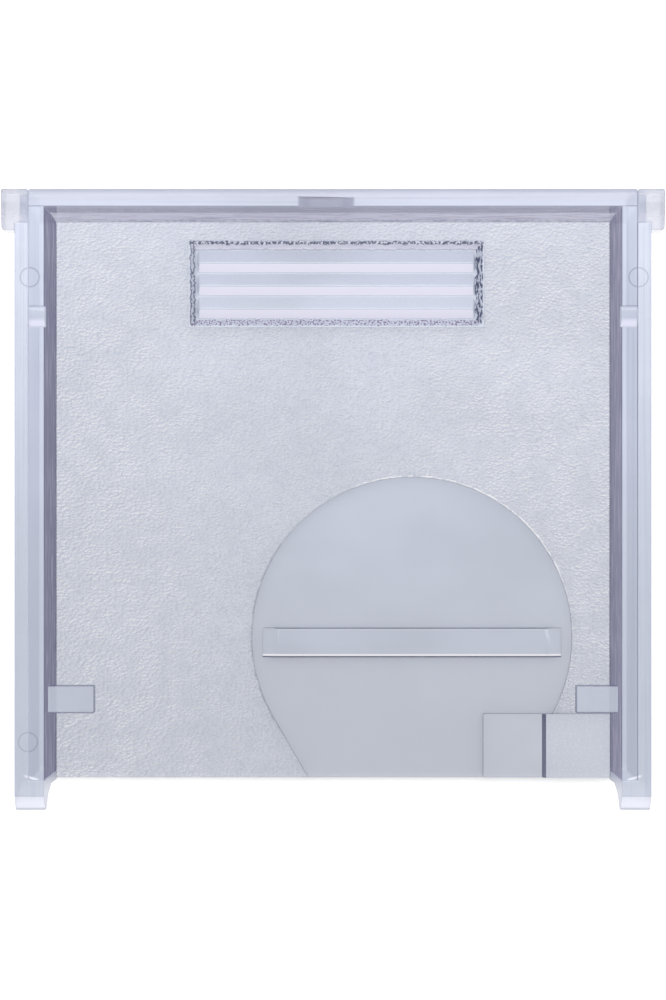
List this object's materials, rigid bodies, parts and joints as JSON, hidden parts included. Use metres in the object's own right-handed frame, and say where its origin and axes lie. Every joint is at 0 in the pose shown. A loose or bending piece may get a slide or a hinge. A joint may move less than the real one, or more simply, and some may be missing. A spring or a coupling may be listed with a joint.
{
  "type": "negative carrier",
  "caption": "Clear shallow tray, open along one edge, with side runners, nosed feet, stop ears, keepers over the film bed, a ribbed thumb grip and a round polished window.",
  "frame": {"origin": "middle of the underside, halfway between the stop ears' tips and halfway from the feet's noses to the top wall", "axes": "+X towards the right runner, seen with the tray's open face up and the stop ears away; +Y from the feet towards the stop ears; +Z from the underside to the rim"},
  "size_m": [0.1174, 0.11, 0.0149],
  "materials": {
    "base_plate": "clear slightly blue polystyrene, fine pebble grain on its upper face",
    "focus_window": "clear slightly blue polystyrene, polished",
    "guide_bar": "clear slightly blue polystyrene, polished",
    "thumb_grip": "clear slightly blue polystyrene, smooth ribs",
    "corner_pad": "clear slightly blue polystyrene, polished",
    "top_wall": "clear slightly blue polystyrene, moulded gloss",
    "side_wall": "clear slightly blue polystyrene, moulded gloss with faint drag lines",
    "runner": "clear slightly blue polystyrene, moulded gloss",
    "stop_ear": "clear slightly blue polystyrene, moulded gloss",
    "keeper": "clear slightly blue polystyrene, moulded gloss",
    "detent": "clear slightly blue polystyrene, moulded gloss"
  },
  "bodies": {
    "root": {"base_plate": "base_plate", "focus_window": "focus_window", "guide_bar": "guide_bar", "thumb_grip": "thumb_grip", "corner_pad": "corner_pad", "top_wall": "top_wall", "left_wall": "side_wall", "right_wall": "side_wall", "left_runner": "runner", "right_runner": "runner", "left_stop_ear": "stop_ear", "right_stop_ear": "stop_ear", "left_keeper": "keeper", "right_keeper": "keeper", "left_detent": "detent", "right_detent": "detent"}
  },
  "joints": []
}
